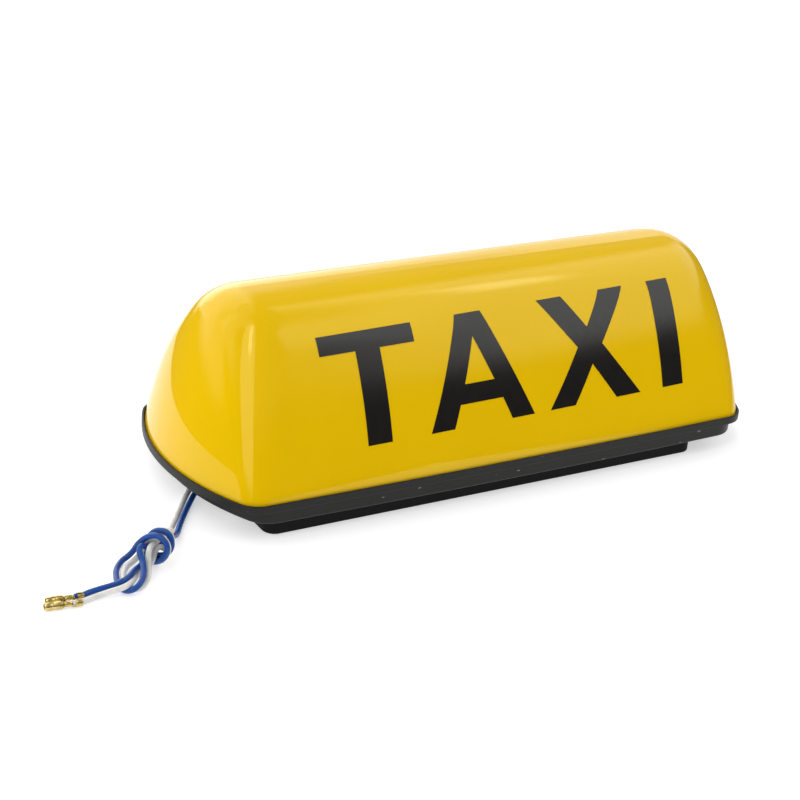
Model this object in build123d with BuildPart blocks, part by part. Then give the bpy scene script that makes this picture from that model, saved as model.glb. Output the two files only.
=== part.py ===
"""Magnetic roof sign for a taxi: a yellow moulded cover on a black tray, a rubber plinth under it with
four ring magnets, two plug-in lamps inside, and a knotted pair of wires that ends in two crimped
bullet sockets. Millimetres. +Z is up, -Y is the lettered front, and the origin is on the roof, under
the middle of the sign."""

import math
import os

from build123d import *

os.makedirs("parts", exist_ok=True)

# Driving sizes of the whole sign
LENGTH = 350.0
WIDTH = 138.0
HEIGHT = 110.0
GAP = 0.3
CUT = 40.0

# Heights from the roof upwards
PLINTH_TOP = 9.5
RIM_UNDER = 16.4
RIM_TOP = 20.7
FLOOR_TOP = PLINTH_TOP + 2.5
SEAT = RIM_TOP - 2.5
GASKET = 1.0
COVER_FOOT = SEAT + GASKET
PLATE_UNDER = 22.0

# Cover: the walls lean in on long arcs and close over the top on a smaller arc
COVER_WALL = 2.6
COVER_HALF_LENGTH = LENGTH / 2 - 1.9
COVER_HALF_WIDTH = WIDTH / 2 - 1.9
FRONT_LEAN = (11.3, 30.9)
FRONT_TOP_ARC = 44.4
END_LEAN = (7.2, 22.2)
END_TOP_ARC = 21.1
END_BOW = 125.0
END_BOW_LOSS = 47.0
FRONT_SAG = 2.3
LOW_CORNER = 13.8
HIGH_CORNER = 33.6
FILM = 0.2

# Tray and plinth
TRAY_HALF_LENGTH = 169.0
TRAY_HALF_WIDTH = 68.6
RIM_CORNER = 15.4
RIM_BOW = 127.0
TRAY_CORNER = 15.4
PLINTH = (272.0, 123.2, 7.0)
PLINTH_MIDDLE = (-8.0, 0.0)
WELL_MARGIN = 4.4

# Lettering on each long side: cap height, widths and places along the face, tilted as it was stuck on
CAP_HEIGHT = 53.3
STEM = 14.2
LETTER_FOOT = 42.6
LETTER_TILT = 0.85
LEGEND_MIDDLE = 2.4
LETTER_PLACES = {"T": -81.7, "A": -18.8, "X": 54.2, "I": 107.2}

# Fasteners and magnets
SCREW_HEAD = 2.4
WASHER = 0.8
COVER_SCREW_AT = (151.5, 36.0)
MAGNET_AT = (96.0, 29.0)
MAGNET_CUP_RADIUS = 22.0
MAGNET_SCREW_HOLE = 2.2
MAGNET_FACE = 0.4
CUP_TOP = 8.2
CUP_ROOF = 2.4

# Lamps
LAMP_X = 62.0
HOLDER_BASE = 12.5
HOLDER_TOP = 31.0
HOLDER_HALF = 6.5
PLATE = (196.0, 52.0, 1.0)
PLATE_LIP = 7.0
PLATE_POST_AT = (88.0, 20.0)
WEDGE = (9.6, 2.4)
WEDGE_FOOT = 21.3
BULB_RADIUS = 5.1
BULB_TOP = 58.0
BULB_SHOULDER = 33.0
FILAMENT_HEIGHT = 46.0

# Wires: a pair leaves the plinth's left end wall, is tied in one knot and ends in two sockets on the ground
WIRE_RADIUS = 1.5
WIRE_SPREAD = 1.7
WALL_X = -144.0
WIRE_EXIT = (WALL_X - 1.6, 5.0)
LEAD_HEIGHT = 14.5
CLIP_X = -100.0
BLUE_RUN = [
    (-145.6, -1.7, 5.0), (-150.5, -1.7, 5.0), (-158.0, -8.0, 3.0), (-168.0, -22.5, 1.6),
    (-179.4, -38.0, 1.6), (-189.5, -46.3, 3.0), (-197.0, -52.0, 4.5),
]
WHITE_RUN = [
    (-145.6, 1.7, 5.0), (-152.0, 1.7, 5.0), (-160.8, -5.6, 3.0), (-170.9, -20.8, 1.6),
    (-181.9, -35.8, 1.6), (-191.6, -43.4, 3.0), (-199.0, -48.8, 4.5),
]
BLUE_TAIL = [(-231.0, -83.5, 6.0), (-238.5, -84.3, 4.2), (-246.0, -84.7, 3.1)]
WHITE_TAIL = [(-231.0, -86.5, 3.0), (-238.5, -88.6, 2.2), (-247.0, -89.6, 2.0)]
BLUE_SOCKET = (-252.5, -84.4, 2.7)
BLUE_AIM = (-0.991, 0.13, -0.033)
WHITE_SOCKET = (-255.0, -88.9, 2.1)
WHITE_AIM = (-0.991, 0.13, 0.0)
SOCKET_LENGTH = 18.0
CRIMP_LENGTH = 3.0
CRIMP_RADIUS = 1.9
SOCKET_RADIUS = 2.0
SOCKET_BORE = 1.5
KNOT_MIDDLE = (-215.5, -71.0)
KNOT_SIZE = (60.0, 21.0, 14.0)
KNOT_TURN = 40.4


def lean(z, half, angles, top_arc, inset):
    """Half the cover's length or width at height z, with the wall's surface moved inwards by inset."""
    low, high = (math.radians(angle) for angle in angles)
    knee = HEIGHT - top_arc * (1 - math.sin(high))
    side_arc = (knee - RIM_TOP) / (math.sin(high) - math.sin(low))
    side_x = half - side_arc * math.cos(low)
    side_z = RIM_TOP - side_arc * math.sin(low)
    top_x = side_x + (side_arc - top_arc) * math.cos(high)
    top_z = knee - top_arc * math.sin(high)
    if z <= side_z + (side_arc - inset) * math.sin(high):
        return side_x + math.sqrt((side_arc - inset) ** 2 - (z - side_z) ** 2)
    return top_x + math.sqrt(max((top_arc - inset) ** 2 - (z - top_z) ** 2, 0))


def bowed_face(half_x, half_y, corner, end_bow, front_sag):
    """A rounded rectangle whose four sides bow outwards a little."""
    front_bow = (half_x**2 + front_sag**2) / (2 * front_sag)
    front_y = front_bow - half_y
    end_x = half_x - end_bow
    # The corner arc's centre is inside both bows by the corner's radius
    apart = math.hypot(end_x, front_y)
    reach, other = front_bow - corner, end_bow - corner
    along = (reach**2 - other**2 + apart**2) / (2 * apart)
    aside = math.sqrt(reach**2 - along**2)
    unit_x, unit_y = end_x / apart, -front_y / apart
    corner_x = along * unit_x - aside * unit_y
    corner_y = front_y + along * unit_y + aside * unit_x
    if corner_y > 0:
        corner_x = along * unit_x + aside * unit_y
        corner_y = front_y + along * unit_y - aside * unit_x
    start = math.atan2(corner_y - front_y, corner_x)
    finish = math.atan2(corner_y, corner_x - end_x)
    middle = (start + finish) / 2
    first = (corner_x + corner * math.cos(start), corner_y + corner * math.sin(start))
    between = (corner_x + corner * math.cos(middle), corner_y + corner * math.sin(middle))
    second = (corner_x + corner * math.cos(finish), corner_y + corner * math.sin(finish))
    with BuildSketch() as face:
        with BuildLine():
            ThreePointArc((-first[0], first[1]), (0, -half_y), first)
            ThreePointArc(first, between, second)
            ThreePointArc(second, (half_x, 0), (second[0], -second[1]))
            ThreePointArc((second[0], -second[1]), (between[0], -between[1]), (first[0], -first[1]))
            ThreePointArc((first[0], -first[1]), (0, half_y), (-first[0], -first[1]))
            ThreePointArc((-first[0], -first[1]), (-between[0], -between[1]), (-second[0], -second[1]))
            ThreePointArc((-second[0], -second[1]), (-half_x, 0), (-second[0], second[1]))
            ThreePointArc((-second[0], second[1]), (-between[0], between[1]), (-first[0], first[1]))
        make_face()
    return face.sketch


def cover_section(z, inset):
    """The cover's outline at height z, moved inwards by inset."""
    rise = (z - RIM_TOP) / (HEIGHT - RIM_TOP)
    half_x = lean(z, COVER_HALF_LENGTH, END_LEAN, END_TOP_ARC, inset)
    half_y = lean(z, COVER_HALF_WIDTH, FRONT_LEAN, FRONT_TOP_ARC, inset)
    wanted = LOW_CORNER + (HIGH_CORNER - LOW_CORNER) * rise - inset
    widest = 0.93 * half_y
    corner = (wanted**-4 + widest**-4) ** -0.25
    front_sag = FRONT_SAG * half_y / COVER_HALF_WIDTH
    return bowed_face(half_x, half_y, corner, END_BOW - END_BOW_LOSS * rise - inset, front_sag)


def cover_body(inset, foot):
    """The cover's outer shape as a solid, moved inwards by inset, from its foot to its top."""
    top = HEIGHT - inset
    knee = HEIGHT - FRONT_TOP_ARC * (1 - math.sin(math.radians(FRONT_LEAN[1])))
    heights = [foot + (knee - foot) * step / 5 for step in range(6)]
    for angle in (24, 42, 58, 72, 83, 90):
        heights.append(top - (top - knee) * (1 - math.sin(math.radians(angle))))
    with BuildPart() as body:
        for height in heights:
            with BuildSketch(Plane.XY.offset(height)):
                add(cover_section(height, inset))
        loft()
    return body.part


def rim_outline(margin):
    """The tray rim's outline, moved inwards by margin."""
    half_x, half_y = LENGTH / 2 - margin, WIDTH / 2 - margin
    return bowed_face(half_x, half_y, RIM_CORNER - margin, RIM_BOW - margin, FRONT_SAG)


def tray_outline(margin):
    """The outline of the tray below its rim, moved inwards by margin."""
    half_x, half_y = TRAY_HALF_LENGTH - margin, TRAY_HALF_WIDTH - margin
    return bowed_face(half_x, half_y, TRAY_CORNER - margin, END_BOW - margin, FRONT_SAG)


def four(place):
    """The four mirrored copies of a place in plan."""
    return [(x * place[0], y * place[1]) for x in (-1, 1) for y in (-1, 1)]


def save(part, name):
    """Label a sub-part and write its file."""
    part.label = name
    export_step(part, f"parts/{name}.step")


# Cover: a closed shell, open below, with four screw posts tied to the end walls by ribs
POST_RADIUS = 4.5
POST_TOP = 44.0
POST_BORE = 2.0
POST_CAP = 6.0
RIB = (20.0, 2.0)
outer_body = cover_body(0.0, COVER_FOOT)
inner_body = cover_body(COVER_WALL, COVER_FOOT)
with BuildPart() as posts:
    with BuildSketch(Plane.XY.offset(COVER_FOOT)):
        with Locations(*four(COVER_SCREW_AT)):
            Circle(POST_RADIUS)
        with Locations(*four((COVER_SCREW_AT[0] + RIB[0] / 2, COVER_SCREW_AT[1]))):
            Rectangle(*RIB)
    extrude(amount=POST_TOP - COVER_FOOT)
    with BuildSketch(Plane.XY.offset(FLOOR_TOP + GAP)):
        with Locations(*four(COVER_SCREW_AT)):
            Circle(POST_RADIUS)
    extrude(amount=COVER_FOOT - FLOOR_TOP - GAP)
with BuildPart() as trim:
    add(outer_body)
    with BuildSketch(Plane.XY.offset(FLOOR_TOP)):
        with Locations(*four(COVER_SCREW_AT)):
            Circle(POST_RADIUS + 1)
    extrude(amount=COVER_FOOT - FLOOR_TOP)
with BuildPart() as cover_dome:
    add(outer_body)
    add(inner_body, mode=Mode.SUBTRACT)
    add(posts.part & trim.part)
    with BuildSketch(Plane.XY.offset(FLOOR_TOP)):
        with Locations(*four(COVER_SCREW_AT)):
            Circle(POST_BORE)
    extrude(amount=POST_TOP - FLOOR_TOP - POST_CAP, mode=Mode.SUBTRACT)
save(cover_dome.part, "cover_dome")


# Lettering: stroke outlines about the foot of each letter's middle, wrapped on the face as a thin film
def letter_t():
    bar, half = 8.3, 27.8
    stem = STEM / 2
    neck = CAP_HEIGHT - bar
    return [(-half, CAP_HEIGHT), (-half, neck), (-stem, neck), (-stem, 0), (stem, 0), (stem, neck),
            (half, neck), (half, CAP_HEIGHT)]


def letter_a():
    return [(-8.0, CAP_HEIGHT), (-32.3, 0), (-18.1, 0), (-13.3, 11.5), (13.3, 11.5), (18.1, 0), (32.3, 0),
            (8.0, CAP_HEIGHT)]


def letter_a_counter():
    return [(-9.3, 21.0), (9.3, 21.0), (0, 43.0)]


def letter_x():
    return [(-28.7, CAP_HEIGHT), (-12.7, CAP_HEIGHT), (0, 37.6), (12.7, CAP_HEIGHT), (28.7, CAP_HEIGHT),
            (8.1, 28.6), (30.2, 0), (13.9, 0), (0, 19.4), (-13.9, 0), (-30.2, 0), (-8.1, 28.6)]


def letter_i():
    stem = STEM / 2
    return [(-stem, CAP_HEIGHT), (-stem, 0), (stem, 0), (stem, CAP_HEIGHT)]


# The space just outside the cover's surface that the lettering film fills
with BuildPart() as film:
    add(cover_body(-FILM, COVER_FOOT))
    add(outer_body, mode=Mode.SUBTRACT)


def legend(turn):
    """The four letters on one long side; turn is 0 for the front and 180 for the back."""
    middle = LETTER_FOOT + CAP_HEIGHT / 2
    face = Plane((0, 0, middle), x_dir=(1, 0, 0), z_dir=(0, -1, 0))
    shapes = {"T": letter_t(), "A": letter_a(), "X": letter_x(), "I": letter_i()}
    with BuildPart() as prisms:
        with BuildSketch(face):
            with Locations(Location((LEGEND_MIDDLE, 0), LETTER_TILT)):
                for letter, outline in shapes.items():
                    start = (LETTER_PLACES[letter] - LEGEND_MIDDLE, -CAP_HEIGHT / 2)
                    with BuildLine():
                        Polyline(*[(start[0] + x, start[1] + y) for x, y in outline], close=True)
                    make_face()
                start = (LETTER_PLACES["A"] - LEGEND_MIDDLE, -CAP_HEIGHT / 2)
                with BuildLine():
                    Polyline(*[(start[0] + x, start[1] + y) for x, y in letter_a_counter()], close=True)
                make_face(mode=Mode.SUBTRACT)
        extrude(amount=WIDTH)
    return (prisms.part & film.part).rotate(Axis.Z, turn)


save(legend(0), "legend_front")
save(legend(180), "legend_back")


# Tray: a shallow tub whose rim overhangs its ends and stands up around the cover's foot
TRAY_HOLE = 2.3
DRAIN_AT = [(-158.0, 0.0), (158.0, 0.0)]
LEAD_SLOT = (22.0, 10.0)
LEAD_SLOT_X = -127.0
with BuildPart() as base_tray:
    with BuildSketch(Plane.XY.offset(PLINTH_TOP)):
        add(tray_outline(0))
    extrude(amount=RIM_UNDER - PLINTH_TOP)
    fillet(base_tray.edges().group_by(Axis.Z)[0], 1.2)
    with BuildSketch(Plane.XY.offset(RIM_UNDER)):
        add(rim_outline(0))
    extrude(amount=RIM_TOP - RIM_UNDER)
    with BuildSketch(Plane.XY.offset(SEAT)):
        add(cover_section(COVER_FOOT, -GAP))
    extrude(amount=CUT, mode=Mode.SUBTRACT)
    with BuildSketch(Plane.XY.offset(FLOOR_TOP)):
        add(tray_outline(WELL_MARGIN))
    extrude(amount=CUT, mode=Mode.SUBTRACT)
    fillet(base_tray.edges().group_by(Axis.Z)[-1], 0.5)
    with BuildSketch(Plane.XY.offset(FLOOR_TOP)):
        with Locations(*four(PLATE_POST_AT)):
            Circle(3.5)
    extrude(amount=PLATE_UNDER - FLOOR_TOP)
    with BuildSketch(Plane.XY.offset(FLOOR_TOP)):
        for x in (-40, 0, 40, 120):
            with Locations((x, 0)):
                Rectangle(1.6, 2 * TRAY_HALF_WIDTH - 2 * WELL_MARGIN - 4)
    extrude(amount=1.0)
    with BuildSketch(Plane.XY.offset(PLATE_UNDER)):
        with Locations(*four(PLATE_POST_AT)):
            Circle(1.5)
    extrude(amount=-9, mode=Mode.SUBTRACT)
    with BuildSketch(Plane.XY.offset(PLINTH_TOP)):
        with Locations(*four(COVER_SCREW_AT)):
            Circle(TRAY_HOLE)
        with Locations(*four(MAGNET_AT)):
            Circle(MAGNET_SCREW_HOLE)
        with Locations(*DRAIN_AT):
            Circle(2.5)
        with Locations((LEAD_SLOT_X, 0)):
            RectangleRounded(*LEAD_SLOT, 3)
    extrude(amount=FLOOR_TOP - PLINTH_TOP, mode=Mode.SUBTRACT)
save(base_tray.part, "base_tray")

with BuildPart() as rim_gasket:
    with BuildSketch(Plane.XY.offset(SEAT)):
        add(cover_section(COVER_FOOT, 0))
        add(cover_section(COVER_FOOT, COVER_WALL), mode=Mode.SUBTRACT)
    extrude(amount=GASKET)
save(rim_gasket.part, "rim_gasket")

# Plinth: a rubber block with four round magnet pockets below and a channel for the wires
GROMMET = (11.0, 6.4)
GROMMET_LIP = (13.0, 7.8)
WALL = 3.0
CHANNEL_END = -112.0
with BuildPart() as magnet_plinth:
    with BuildSketch():
        with Locations(PLINTH_MIDDLE):
            RectangleRounded(*PLINTH)
    extrude(amount=PLINTH_TOP)
    fillet(magnet_plinth.edges().group_by(Axis.Z)[0], 1.0)
    with BuildSketch():
        with Locations(*four(MAGNET_AT)):
            Circle(MAGNET_CUP_RADIUS + 0.2)
    extrude(amount=CUP_TOP, mode=Mode.SUBTRACT)
    with BuildSketch(Plane.XY.offset(CUP_TOP)):
        with Locations(*four(MAGNET_AT)):
            Circle(MAGNET_SCREW_HOLE)
    extrude(amount=PLINTH_TOP - CUP_TOP, mode=Mode.SUBTRACT)
    channel_start = WALL_X + WALL
    with BuildSketch(Plane.XY.offset(1.0)):
        with Locations(((channel_start + CHANNEL_END) / 2, 0)):
            Rectangle(CHANNEL_END - channel_start, 14)
    extrude(amount=PLINTH_TOP, mode=Mode.SUBTRACT)
    with BuildSketch(Plane((WALL_X, 0, WIRE_EXIT[1]), x_dir=(0, 1, 0), z_dir=(1, 0, 0))):
        RectangleRounded(*GROMMET, 3)
    extrude(amount=WALL, mode=Mode.SUBTRACT)
save(magnet_plinth.part, "magnet_plinth")


def turned(place, steps):
    """Stacked discs or rings on the four places; a step is a foot, a top, a radius and a hole's radius."""
    with BuildPart() as stack:
        for foot, top, radius, hole in steps:
            with BuildSketch(Plane.XY.offset(foot)):
                with Locations(*four(place)):
                    Circle(radius)
                    if hole:
                        Circle(hole, mode=Mode.SUBTRACT)
            extrude(amount=top - foot)
    return stack.part


cup_under = CUP_TOP - CUP_ROOF
inner_cup = MAGNET_CUP_RADIUS - 2
cup_steps = [
    (MAGNET_FACE, cup_under, MAGNET_CUP_RADIUS, inner_cup),
    (cup_under, CUP_TOP, MAGNET_CUP_RADIUS, MAGNET_SCREW_HOLE),
]
save(turned(MAGNET_AT, cup_steps), "magnet_cups")
save(turned(MAGNET_AT, [(MAGNET_FACE, cup_under, inner_cup - GAP, 4.2)]), "ring_magnets")
magnet_screw = [(cup_under - SCREW_HEAD, cup_under, 3.7, 0), (cup_under, 17.5, 2.0, 0)]
save(turned(MAGNET_AT, magnet_screw), "magnet_screws")
save(turned(MAGNET_AT, [(FLOOR_TOP, FLOOR_TOP + WASHER, 4.5, 2.1)]), "magnet_washers")
with BuildPart() as magnet_nuts:
    with BuildSketch(Plane.XY.offset(FLOOR_TOP + WASHER)):
        with Locations(*four(MAGNET_AT)):
            RegularPolygon(4.04, 6)
            Circle(2.05, mode=Mode.SUBTRACT)
    extrude(amount=3.2)
save(magnet_nuts.part, "magnet_nuts")
washer_under = PLINTH_TOP - WASHER
cover_screw = [(washer_under - SCREW_HEAD, washer_under, 4.0, 0), (washer_under, 36, 1.8, 0)]
save(turned(COVER_SCREW_AT, cover_screw), "cover_screws")
save(turned(COVER_SCREW_AT, [(washer_under, PLINTH_TOP, 5.0, 2.1)]), "cover_washers")

# Lamp plate: a white sheet on four posts, with its long edges turned up
PLATE_TOP = PLATE_UNDER + PLATE[2]
HOLDER_RADIUS = 7.5
with BuildPart() as lamp_plate:
    with BuildSketch(Plane.XY.offset(PLATE_UNDER)):
        Rectangle(PLATE[0], PLATE[1])
        with Locations((-LAMP_X, 0), (LAMP_X, 0)):
            Circle(HOLDER_RADIUS + GAP, mode=Mode.SUBTRACT)
        with Locations(*four(PLATE_POST_AT)):
            Circle(1.7, mode=Mode.SUBTRACT)
    extrude(amount=PLATE[2])
    with BuildSketch(Plane.XY.offset(PLATE_TOP)):
        for side in (-1, 1):
            with Locations((0, side * (PLATE[1] - PLATE[2]) / 2)):
                Rectangle(PLATE[0], PLATE[2])
    extrude(amount=PLATE_LIP)
save(lamp_plate.part, "lamp_plate")
plate_screw = [(PLATE_TOP, PLATE_TOP + 1.8, 2.8, 0), (14.0, PLATE_TOP, 1.4, 0)]
save(turned(PLATE_POST_AT, plate_screw), "plate_screws")


def lamp_holder(x):
    """A black holder that the lamp's flat glass foot pushes into from above."""
    with BuildPart() as holder:
        with BuildSketch(Plane.XY.offset(HOLDER_BASE)):
            with Locations((x, 0)):
                Rectangle(2 * HOLDER_HALF, 2 * HOLDER_HALF)
        extrude(amount=PLATE_UNDER - HOLDER_BASE)
        with BuildSketch(Plane.XY.offset(PLATE_UNDER)):
            with Locations((x, 0)):
                Circle(HOLDER_RADIUS)
        extrude(amount=HOLDER_TOP - PLATE_UNDER)
        with BuildSketch(Plane.XY.offset(PLATE_TOP)):
            with Locations((x, 0)):
                Circle(HOLDER_RADIUS + 2.5)
        extrude(amount=1.5)
        with BuildSketch(Plane.XY.offset(WEDGE_FOOT - GAP)):
            with Locations((x, 0)):
                Rectangle(WEDGE[0] + 0.2, WEDGE[1] + 0.2)
            with Locations((x - 3, 0), (x + 3, 0)):
                Rectangle(2.0, WEDGE[1] + 1.0)
        extrude(amount=CUT, mode=Mode.SUBTRACT)
        with BuildSketch(Plane.XY.offset(HOLDER_TOP - 3)):
            with Locations((x, 0)):
                Circle(BULB_RADIUS + GAP)
        extrude(amount=CUT, mode=Mode.SUBTRACT)
    return holder.part


def lamp_contacts(x):
    """Two brass strips that press on the wires folded round the lamp's foot."""
    with BuildPart() as contacts:
        with BuildSketch(Plane.XY.offset(WEDGE_FOOT - GAP)):
            with Locations((x - 3, WEDGE[1] / 2 + 0.35), (x + 3, -WEDGE[1] / 2 - 0.35)):
                Rectangle(1.6, 0.3)
        extrude(amount=6.5)
    return contacts.part


def lamp_glass(x):
    """A small glass lamp with a hollow bulb and a flat solid foot."""
    with BuildPart() as glass:
        with BuildSketch(Plane((x, 0, 0), x_dir=(1, 0, 0), z_dir=(0, -1, 0))):
            with BuildLine():
                Line((0, WEDGE_FOOT + 7.5), (3.4, WEDGE_FOOT + 7.5))
                Line((3.4, WEDGE_FOOT + 7.5), (BULB_RADIUS, BULB_SHOULDER))
                Line((BULB_RADIUS, BULB_SHOULDER), (BULB_RADIUS, BULB_TOP - BULB_RADIUS))
                RadiusArc((BULB_RADIUS, BULB_TOP - BULB_RADIUS), (0, BULB_TOP), -BULB_RADIUS)
                Line((0, BULB_TOP), (0, WEDGE_FOOT + 7.5))
            make_face()
        revolve(axis=Axis((x, 0, 0), (0, 0, 1)))
        with BuildSketch(Plane.XY.offset(WEDGE_FOOT)):
            with Locations((x, 0)):
                Rectangle(*WEDGE)
        extrude(amount=8)
        wall = 0.7
        room = BULB_RADIUS - wall
        with BuildSketch(Plane((x, 0, 0), x_dir=(1, 0, 0), z_dir=(0, -1, 0))):
            with BuildLine():
                Line((0, BULB_SHOULDER + 1), (room, BULB_SHOULDER + 1))
                Line((room, BULB_SHOULDER + 1), (room, BULB_TOP - BULB_RADIUS))
                RadiusArc((room, BULB_TOP - BULB_RADIUS), (0, BULB_TOP - wall), -room)
                Line((0, BULB_TOP - wall), (0, BULB_SHOULDER + 1))
            make_face()
        revolve(axis=Axis((x, 0, 0), (0, 0, 1)), mode=Mode.SUBTRACT)
    return glass.part


def lamp_filament(x):
    """Two support wires with the filament across their tops, inside the glass."""
    with BuildPart() as filament:
        with BuildSketch(Plane.XY.offset(BULB_SHOULDER + 1)):
            with Locations((x - 2, 0), (x + 2, 0)):
                Circle(0.25)
        extrude(amount=FILAMENT_HEIGHT - BULB_SHOULDER - 1)
        with BuildSketch(Plane((x - 2.4, 0, FILAMENT_HEIGHT), x_dir=(0, 1, 0), z_dir=(1, 0, 0))):
            Circle(0.4)
        extrude(amount=4.8)
    return filament.part


for side, x in (("left", -LAMP_X), ("right", LAMP_X)):
    save(lamp_holder(x), f"lamp_holder_{side}")
    save(lamp_contacts(x), f"lamp_contacts_{side}")
    save(lamp_glass(x), f"lamp_glass_{side}")
    save(lamp_filament(x), f"lamp_filament_{side}")

# Rubber grommet in the plinth's end wall, with a lip on each side and a hole for each wire
with BuildPart() as cable_grommet:
    wall_plane = Plane((WIRE_EXIT[0], 0, WIRE_EXIT[1]), x_dir=(0, 1, 0), z_dir=(1, 0, 0))
    with BuildSketch(wall_plane):
        RectangleRounded(*GROMMET_LIP, 3.5)
    extrude(amount=WALL_X - WIRE_EXIT[0])
    fillet(cable_grommet.edges().group_by(Axis.X)[0], 0.6)
    with BuildSketch(wall_plane.offset(WALL_X - WIRE_EXIT[0])):
        RectangleRounded(*GROMMET, 3)
    extrude(amount=WALL)
    with BuildSketch(wall_plane.offset(WALL_X - WIRE_EXIT[0] + WALL)):
        RectangleRounded(*GROMMET_LIP, 3.5)
    extrude(amount=1.0)
    with BuildSketch(wall_plane):
        with Locations((-WIRE_SPREAD, 0), (WIRE_SPREAD, 0)):
            Circle(WIRE_RADIUS)
    extrude(amount=CUT, mode=Mode.SUBTRACT)
save(cable_grommet.part, "cable_grommet")


def corner_radii(points):
    """The arc at each corner of a route: as large as its two runs allow."""
    radii = []
    for before, corner, after in zip(points, points[1:], points[2:]):
        first, second = Vector(corner) - Vector(before), Vector(after) - Vector(corner)
        half_turn = math.radians(first.get_angle(second)) / 2
        radii.append(0.45 * min(first.length, second.length) / math.tan(half_turn))
    return radii


def wire(points, name):
    """A round wire along straight runs joined by tangent arcs."""
    radii = corner_radii(points)
    with BuildPart() as tube:
        with BuildLine() as path:
            FilletPolyline(*points, radius=radii)
        route = path.wires()[0]
        with BuildSketch(Plane(points[0], z_dir=Vector(points[1]) - Vector(points[0]))):
            Circle(WIRE_RADIUS)
        sweep(path=route)
    share = tube.part.volume / (math.pi * WIRE_RADIUS**2 * route.length)
    rounded = [round(radius, 1) for radius in radii]
    print(name, "radii", rounded, "length", round(route.length, 1), "share", round(share, 4))
    save(tube.part, name)


for name, side in (("blue", -1), ("white", 1)):
    exit_y, holder_y = side * WIRE_SPREAD, side * 3.2
    lead = [
        (WIRE_EXIT[0], exit_y, WIRE_EXIT[1]), (-137, exit_y, WIRE_EXIT[1]), (-117, exit_y, LEAD_HEIGHT),
        (-88, holder_y, LEAD_HEIGHT), (-LAMP_X - HOLDER_HALF, holder_y, LEAD_HEIGHT),
    ]
    wire(lead, f"{name}_lead")
    inner_x = LAMP_X - HOLDER_HALF
    jumper = [
        (-inner_x, holder_y, LEAD_HEIGHT), (-inner_x + 18, holder_y, LEAD_HEIGHT), (-14, side * 6, 15.4),
        (16, side * 5.5, 15.0), (inner_x - 18, holder_y, LEAD_HEIGHT), (inner_x, holder_y, LEAD_HEIGHT),
    ]
    wire(jumper, f"{name}_jumper")

# Clip that holds both leads down on the tray floor
CLIP = (6.0, 9.6, 17.3)
with BuildPart() as lead_clip:
    with BuildSketch(Plane((CLIP_X - CLIP[0] / 2, 0, 0), x_dir=(0, 1, 0), z_dir=(1, 0, 0))):
        with Locations((0, (FLOOR_TOP + CLIP[2]) / 2)):
            Rectangle(CLIP[1] + 2, CLIP[2] - FLOOR_TOP)
        with Locations((0, FLOOR_TOP + 0.5)):
            Rectangle(CLIP[1] + 14, 1)
        with Locations((0, (FLOOR_TOP + CLIP[2] - 1) / 2)):
            Rectangle(CLIP[1], CLIP[2] - 1 - FLOOR_TOP, mode=Mode.SUBTRACT)
    extrude(amount=CLIP[0])
    with BuildSketch(Plane.XY.offset(FLOOR_TOP)):
        with Locations((CLIP_X, -8.5), (CLIP_X, 8.5)):
            Circle(1.6)
    extrude(amount=1, mode=Mode.SUBTRACT)
save(lead_clip.part, "lead_clip")
with BuildPart() as clip_screws:
    for foot, top, radius in ((FLOOR_TOP, FLOOR_TOP + 1, 1.5), (FLOOR_TOP + 1, FLOOR_TOP + 2.6, 2.6)):
        with BuildSketch(Plane.XY.offset(foot)):
            with Locations((CLIP_X, -8.5), (CLIP_X, 8.5)):
                Circle(radius)
        extrude(amount=top - foot)
save(clip_screws.part, "clip_screws")

# Free wires: the runs from the plinth, one closed solid for the knot, and the tails with their sockets
wire(BLUE_RUN, "blue_wire_run")
wire(WHITE_RUN, "white_wire_run")
with BuildPart() as wire_knot:
    with BuildSketch(Plane.XY.offset(GAP)):
        with Locations(Location(KNOT_MIDDLE, KNOT_TURN)):
            SlotOverall(*KNOT_SIZE[:2])
    extrude(amount=KNOT_SIZE[2])
    fillet(wire_knot.edges().group_by(Axis.Z)[0] + wire_knot.edges().group_by(Axis.Z)[-1], 5.5)
save(wire_knot.part, "wire_knot")


blue_axis = Plane(BLUE_SOCKET, z_dir=BLUE_AIM)
white_axis = Plane(WHITE_SOCKET, z_dir=WHITE_AIM)


def socket(axis):
    """A crimped bullet socket: a ring round the wire, a narrow neck and an open barrel."""
    steps = [
        (0, CRIMP_LENGTH, CRIMP_RADIUS, WIRE_RADIUS), (CRIMP_LENGTH, 4.0, CRIMP_RADIUS, 0),
        (4.0, 9.5, 1.3, 0), (9.5, 10.5, SOCKET_RADIUS, 0),
        (10.5, SOCKET_LENGTH, SOCKET_RADIUS, SOCKET_BORE),
    ]
    with BuildPart() as body:
        for foot, top, radius, hole in steps:
            with BuildSketch(axis.offset(foot)):
                Circle(radius)
                if hole:
                    Circle(hole, mode=Mode.SUBTRACT)
            extrude(amount=top - foot)
    return body.part


wire([*BLUE_TAIL, tuple(blue_axis.offset(CRIMP_LENGTH).origin)], "blue_wire_tail")
wire([*WHITE_TAIL, tuple(white_axis.offset(CRIMP_LENGTH).origin)], "white_wire_tail")
save(socket(blue_axis), "blue_socket")
save(socket(white_axis), "white_socket")
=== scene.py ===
"""The looks of a taxi roof light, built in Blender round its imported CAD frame."""

import math

import bmesh
import bpy
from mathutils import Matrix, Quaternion, Vector
from mathutils.geometry import tessellate_polygon


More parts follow.
